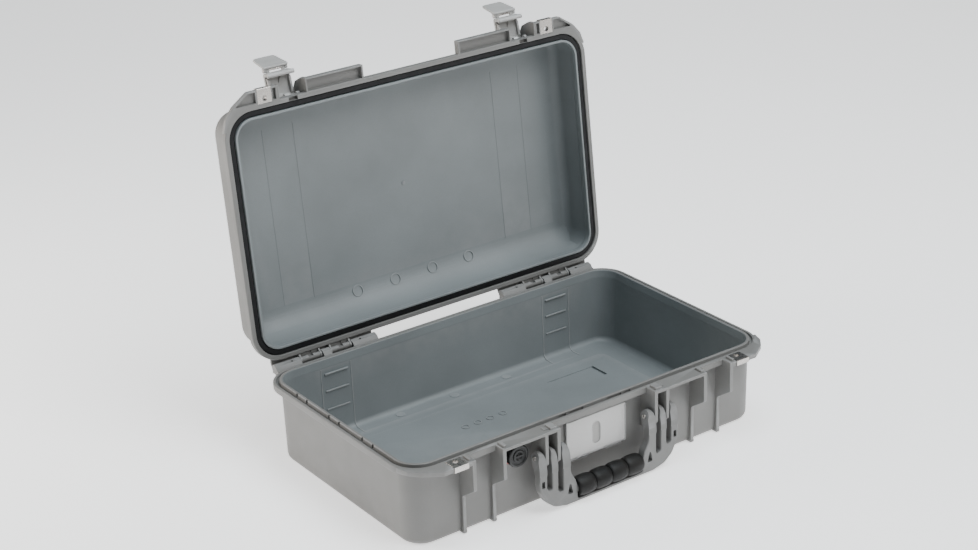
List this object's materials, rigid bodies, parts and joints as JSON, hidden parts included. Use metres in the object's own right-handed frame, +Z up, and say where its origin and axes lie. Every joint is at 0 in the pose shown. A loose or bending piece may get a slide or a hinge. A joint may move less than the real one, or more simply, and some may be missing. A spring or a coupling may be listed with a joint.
{
  "type": "protective equipment case",
  "caption": "Shallow rigid polymer equipment case, lid open, with a seal, lever latches, a swinging carry handle, padlock plates, a pressure vent and a label window.",
  "frame": {"origin": "centre of the flat underside, under the centre of the sealing ridge", "axes": "+X along the case to its right end, +Y to the hinges, +Z up through the open base; the latches and handle face -Y"},
  "size_m": [0.5576, 0.4709, 0.4791],
  "materials": {
    "case_grey": "fine moulded texture",
    "latch_grey": "fine moulded texture",
    "seal_black": "dull",
    "grip_rubber": "dull",
    "steel": "pressed stainless sheet and drawn pin",
    "vent_black": "satin",
    "vent_red": "smooth",
    "membrane": "white porous film",
    "clear_cover": "clear polished",
    "card": "blank card"
  },
  "bodies": {
    "base": {"base_shell": "case_grey", "hinge_pin_left": "steel", "hinge_pin_right": "steel", "handle_pin_left": "steel", "handle_pin_right": "steel", "base_padlock_plate_left": "steel", "base_padlock_plate_right": "steel", "vent_body": "vent_black", "vent_seal_ring": "vent_red", "vent_nut": "vent_black", "vent_membrane": "membrane", "label_cover": "clear_cover", "label_card": "card"},
    "lid": {"lid_shell": "case_grey", "lid_seal": "seal_black", "lid_padlock_plate_left": "steel", "lid_padlock_plate_right": "steel", "latch_pivot_pin_left": "steel", "latch_pivot_pin_right": "steel"},
    "handle": {"handle_frame": "case_grey", "handle_grip": "grip_rubber"},
    "vent_knob": {"vent_cap": "vent_black"},
    "arm_left": {"latch_arm_left": "latch_grey", "latch_lever_pin_left": "steel"},
    "lever_left": {"latch_lever_left": "latch_grey"},
    "arm_right": {"latch_arm_right": "latch_grey", "latch_lever_pin_right": "steel"},
    "lever_right": {"latch_lever_right": "latch_grey"}
  },
  "joints": [
    {"name": "lid_hinge", "type": "hinge", "parent": "base", "child": "lid", "pos_m": [0, 0.1737, 0.1089], "axis": [1, 0, 0], "range_deg": [0, 95.8]},
    {"name": "handle_swing", "type": "hinge", "parent": "base", "child": "handle", "pos_m": [0, -0.176, 0.076], "axis": [-1, 0, 0], "range_deg": [0, 100]},
    {"name": "vent_turn", "type": "hinge", "parent": "base", "child": "vent_knob", "pos_m": [-0.125, -0.1656, 0.0825], "axis": [0, -1, 0], "range_deg": [0, 180]},
    {"name": "latch_arm_left", "type": "hinge", "parent": "lid", "child": "arm_left", "pos_m": [-0.177, 0.22507, 0.4411], "axis": [1, 0, 0], "range_deg": [0, 99.5]},
    {"name": "latch_lever_left", "type": "hinge", "parent": "arm_left", "child": "lever_left", "pos_m": [-0.177, 0.25002, 0.47135], "axis": [-1, 0, 0], "range_deg": [0, 111.2]},
    {"name": "latch_arm_right", "type": "hinge", "parent": "lid", "child": "arm_right", "pos_m": [0.177, 0.22507, 0.4411], "axis": [1, 0, 0], "range_deg": [0, 99.5]},
    {"name": "latch_lever_right", "type": "hinge", "parent": "arm_right", "child": "lever_right", "pos_m": [0.177, 0.25002, 0.47135], "axis": [-1, 0, 0], "range_deg": [0, 111.2]}
  ]
}
